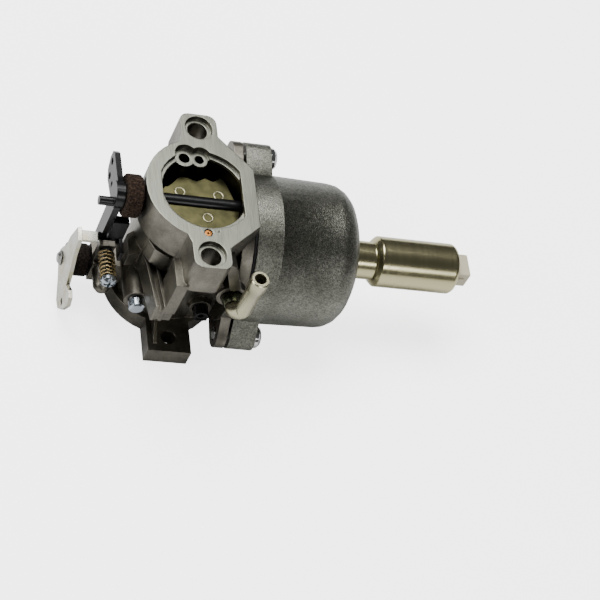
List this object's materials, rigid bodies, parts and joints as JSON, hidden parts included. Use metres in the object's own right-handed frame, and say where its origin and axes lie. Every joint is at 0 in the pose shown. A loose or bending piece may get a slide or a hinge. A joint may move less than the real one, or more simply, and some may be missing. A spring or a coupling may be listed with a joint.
{
  "type": "carburetor",
  "caption": "Float-bowl carburettor with a butterfly throttle and choke, fuel shut-off solenoid, fuel inlet tube and idle adjusting screws.",
  "frame": {"origin": "centre of the main bore on the air inlet face, which the carburettor stands on", "axes": "+Z along the main bore from the air inlet to the engine flange, +X towards the float bowl and its solenoid, +Y towards the ear beside the twin idle passages"},
  "size_m": [0.1606, 0.0746, 0.064],
  "materials": {
    "cast_aluminium": "satin die casting with milled faces",
    "bowl_aluminium": "grainy shot-blasted casting",
    "rubber": "matt",
    "zinc_steel": "bright zinc plate",
    "yellow_zinc": "polished yellow passivated zinc",
    "ivory_plastic": "satin moulding",
    "tin_blade": "tinned",
    "plain_steel": "plain",
    "black_plastic": "satin moulding",
    "foam": "open-cell foam",
    "olive_plating": "dark olive passivation",
    "brass": "machined",
    "float_plastic": "moulded"
  },
  "bodies": {
    "carburettor": {"body_casting": "cast_aluminium", "float_bowl": "bowl_aluminium", "bowl_gasket": "rubber", "bowl_screw_upper": "zinc_steel", "bowl_screw_lower": "zinc_steel", "solenoid_case": "yellow_zinc", "solenoid_washer": "zinc_steel", "solenoid_connector": "ivory_plastic", "connector_blade_upper": "tin_blade", "connector_blade_lower": "tin_blade", "solenoid_spring": "plain_steel", "throttle_foam_seal": "foam", "choke_foam_seal": "foam", "idle_speed_spring": "yellow_zinc", "idle_mixture_spring": "plain_steel", "fuel_inlet_tube": "yellow_zinc", "fuel_inlet_plug": "olive_plating", "idle_port_bush": "brass", "vent_stub": "black_plastic", "main_jet": "brass", "main_nozzle": "brass", "pilot_jet": "brass", "float_hinge_pin": "plain_steel", "needle_seat": "brass"},
    "throttle": {"throttle_shaft_lever": "black_plastic", "throttle_plate": "yellow_zinc"},
    "choke": {"choke_shaft": "plain_steel", "choke_lever": "zinc_steel", "choke_plate": "yellow_zinc", "choke_plate_screw_1": "zinc_steel", "choke_plate_screw_2": "zinc_steel"},
    "float": {"float": "float_plastic"},
    "needle": {"needle_valve": "plain_steel"},
    "plunger": {"solenoid_plunger": "plain_steel"},
    "idle_speed_adjuster": {"idle_speed_screw": "zinc_steel"},
    "idle_mixture_adjuster": {"idle_mixture_screw": "zinc_steel"}
  },
  "joints": [
    {"name": "throttle_turn", "type": "hinge", "parent": "carburettor", "child": "throttle", "pos_m": [0, 0, 0.0554], "axis": [1, 0, 0], "range_deg": [0, 72]},
    {"name": "choke_turn", "type": "hinge", "parent": "carburettor", "child": "choke", "pos_m": [0, 0, 0.0125], "axis": [-1, 0, 0], "range_deg": [0, 75]},
    {"name": "float_drop", "type": "hinge", "parent": "carburettor", "child": "float", "pos_m": [0.0256, -0.0185, 0.0307], "axis": [0, 0, -1], "range_deg": [0, 5]},
    {"name": "needle_slide", "type": "slide", "parent": "carburettor", "child": "needle", "axis": [1, 0, 0], "range_m": [0, 0.0006]},
    {"name": "plunger_slide", "type": "slide", "parent": "carburettor", "child": "plunger", "axis": [1, 0, 0], "range_m": [0, 0.0025], "stiffness_N_per_m": 300, "springref_m": -0.003, "deforming": ["solenoid_spring"]},
    {"name": "idle_speed_turn", "type": "hinge", "parent": "carburettor", "child": "idle_speed_adjuster", "pos_m": [-0.028, -0.018, 0.027], "axis": [0, 1, 0], "range_deg": [-360, 360]},
    {"name": "idle_mixture_turn", "type": "hinge", "parent": "carburettor", "child": "idle_mixture_adjuster", "pos_m": [-0.016, -0.0223, 0.021], "axis": [0, 1, 0], "range_deg": [-360, 360]}
  ],
  "couplings": [
    {"joint": "needle_slide", "follows": "float_drop", "m_per_rad": 0.0057}
  ]
}
